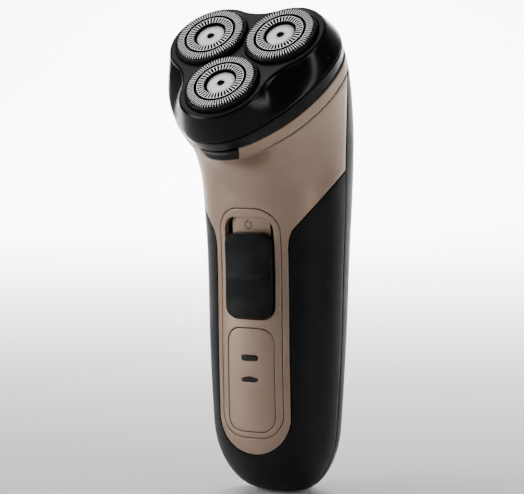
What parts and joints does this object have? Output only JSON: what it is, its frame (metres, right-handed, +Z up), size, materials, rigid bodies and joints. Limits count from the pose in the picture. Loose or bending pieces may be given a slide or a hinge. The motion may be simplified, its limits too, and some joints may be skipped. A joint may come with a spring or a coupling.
{
  "type": "rotary shaver",
  "caption": "Cordless rotary shaver with floating cutters on a tilting-open head, a thumb slide switch, indicator lights and a charging inlet in its base.",
  "frame": {"origin": "on the flat of the base, on the handle's axis", "axes": "+Z up along the handle to the shaving head, -Y to the front, where the switch is, +X to the right seen from the front"},
  "size_m": [0.063, 0.0737, 0.1663],
  "materials": {
    "champagne_paint": "champagne metallic paint on ABS, satin",
    "soft_black": "black ABS with a satin soft-touch coat",
    "gloss_black": "high-gloss moulded black ABS",
    "slider_plastic": "satin moulded black ABS",
    "black_plastic": "moulded black ABS",
    "guard_steel": "stamped stainless steel, lapped",
    "disc_metal": "spun-brushed aluminium",
    "blade_steel": "hardened steel, ground",
    "plated_steel": "nickel-plated steel",
    "pinion_brass": "machined brass",
    "acetal": "moulded natural acetal",
    "lens_plastic": "smoked acrylic",
    "board_green": "green solder mask on glass-epoxy",
    "battery_wrap": "shrink-wrapped plain green sleeve"
  },
  "bodies": {
    "handle": {"front_cover": "champagne_paint", "front_shell": "soft_black", "rear_shell": "soft_black", "collar_ring": "champagne_paint", "control_panel": "champagne_paint", "indicator_plate": "champagne_paint", "led_lens_upper": "lens_plastic", "led_lens_lower": "lens_plastic", "switch_bed": "champagne_paint", "circuit_board": "board_green", "slide_switch": "plated_steel", "battery": "battery_wrap", "charging_socket": "black_plastic", "contact_pin_left": "plated_steel", "contact_pin_right": "plated_steel", "hinge_bracket": "gloss_black", "hinge_pin": "plated_steel", "hair_deck": "black_plastic", "gear_plate": "black_plastic", "deck_screw_back": "plated_steel", "deck_screw_right": "plated_steel", "deck_screw_left": "plated_steel", "motor": "plated_steel"},
    "slider": {"switch_slider": "slider_plastic"},
    "latch": {"release_latch": "gloss_black"},
    "rotor": {"motor_pinion": "pinion_brass"},
    "head": {"head_cover": "gloss_black", "head_skirt": "gloss_black", "retaining_frame": "black_plastic"},
    "knob": {"retainer_knob": "black_plastic"},
    "gear_front": {"drive_gear_front": "acetal"},
    "spindle_front": {"spindle_front": "acetal", "spindle_spring_front": "blade_steel"},
    "cutter_front": {"float_ring_front": "black_plastic", "guard_front": "guard_steel", "centre_disc_front": "disc_metal"},
    "blade_front": {"blade_front": "blade_steel"},
    "gear_left": {"drive_gear_left": "acetal"},
    "spindle_left": {"spindle_left": "acetal", "spindle_spring_left": "blade_steel"},
    "cutter_left": {"float_ring_left": "black_plastic", "guard_left": "guard_steel", "centre_disc_left": "disc_metal"},
    "blade_left": {"blade_left": "blade_steel"},
    "gear_right": {"drive_gear_right": "acetal"},
    "spindle_right": {"spindle_right": "acetal", "spindle_spring_right": "blade_steel"},
    "cutter_right": {"float_ring_right": "black_plastic", "guard_right": "guard_steel", "centre_disc_right": "disc_metal"},
    "blade_right": {"blade_right": "blade_steel"}
  },
  "joints": [
    {"name": "switch_slide", "type": "slide", "parent": "handle", "child": "slider", "axis": [0, -0.04, 0.9992], "range_m": [0, 0.0046]},
    {"name": "latch_press", "type": "slide", "parent": "handle", "child": "latch", "axis": [0, 0.7193, 0.6947], "range_m": [0, 0.0012], "stiffness_N_per_m": 1500},
    {"name": "head_open", "type": "hinge", "parent": "handle", "child": "head", "pos_m": [0, -0.0022, 0.15943], "axis": [-1, 0, 0], "range_deg": [0, 85]},
    {"name": "knob_turn", "type": "hinge", "parent": "head", "child": "knob", "pos_m": [0, -0.02345, 0.14573], "axis": [0, -0.6947, 0.7193], "range_deg": [0, 90]},
    {"name": "motor_spin", "type": "hinge", "parent": "handle", "child": "rotor", "pos_m": [0, -0.01511, 0.13709], "axis": [0, -0.6947, 0.7193], "continuous": true},
    {"name": "gear_spin_front", "type": "hinge", "parent": "handle", "child": "gear_front", "pos_m": [0, -0.02616, 0.12643], "axis": [0, -0.6947, 0.7193], "continuous": true},
    {"name": "spindle_press_front", "type": "slide", "parent": "gear_front", "child": "spindle_front", "axis": [0, 0.6947, -0.7193], "range_m": [0, 0.0015], "deforming": ["spindle_spring_front"]},
    {"name": "cutter_float_front", "type": "slide", "parent": "head", "child": "cutter_front", "axis": [0, 0.6947, -0.7193], "range_m": [0, 0.0015], "stiffness_N_per_m": 600},
    {"name": "blade_spin_front", "type": "hinge", "parent": "cutter_front", "child": "blade_front", "pos_m": [0, -0.03866, 0.13937], "axis": [0, -0.6947, 0.7193], "continuous": true},
    {"name": "gear_spin_left", "type": "hinge", "parent": "handle", "child": "gear_left", "pos_m": [-0.0133, -0.00959, 0.14243], "axis": [0, -0.6947, 0.7193], "continuous": true},
    {"name": "spindle_press_left", "type": "slide", "parent": "gear_left", "child": "spindle_left", "axis": [0, 0.6947, -0.7193], "range_m": [0, 0.0015], "deforming": ["spindle_spring_left"]},
    {"name": "cutter_float_left", "type": "slide", "parent": "head", "child": "cutter_left", "axis": [0, 0.6947, -0.7193], "range_m": [0, 0.0015], "stiffness_N_per_m": 600},
    {"name": "blade_spin_left", "type": "hinge", "parent": "cutter_left", "child": "blade_left", "pos_m": [-0.0133, -0.02209, 0.15538], "axis": [0, -0.6947, 0.7193], "continuous": true},
    {"name": "gear_spin_right", "type": "hinge", "parent": "handle", "child": "gear_right", "pos_m": [0.0133, -0.00959, 0.14243], "axis": [0, -0.6947, 0.7193], "continuous": true},
    {"name": "spindle_press_right", "type": "slide", "parent": "gear_right", "child": "spindle_right", "axis": [0, 0.6947, -0.7193], "range_m": [0, 0.0015], "deforming": ["spindle_spring_right"]},
    {"name": "cutter_float_right", "type": "slide", "parent": "head", "child": "cutter_right", "axis": [0, 0.6947, -0.7193], "range_m": [0, 0.0015], "stiffness_N_per_m": 600},
    {"name": "blade_spin_right", "type": "hinge", "parent": "cutter_right", "child": "blade_right", "pos_m": [0.0133, -0.02209, 0.15538], "axis": [0, -0.6947, 0.7193], "continuous": true}
  ],
  "couplings": [
    {"joint": "motor_spin", "follows": "gear_spin_front", "ratio": -3},
    {"joint": "blade_spin_front", "follows": "gear_spin_front", "ratio": 1},
    {"joint": "spindle_press_front", "follows": "cutter_float_front", "ratio": 1},
    {"joint": "gear_spin_left", "follows": "gear_spin_front", "ratio": 1},
    {"joint": "blade_spin_left", "follows": "gear_spin_front", "ratio": 1},
    {"joint": "spindle_press_left", "follows": "cutter_float_left", "ratio": 1},
    {"joint": "gear_spin_right", "follows": "gear_spin_front", "ratio": 1},
    {"joint": "blade_spin_right", "follows": "gear_spin_front", "ratio": 1},
    {"joint": "spindle_press_right", "follows": "cutter_float_right", "ratio": 1}
  ]
}
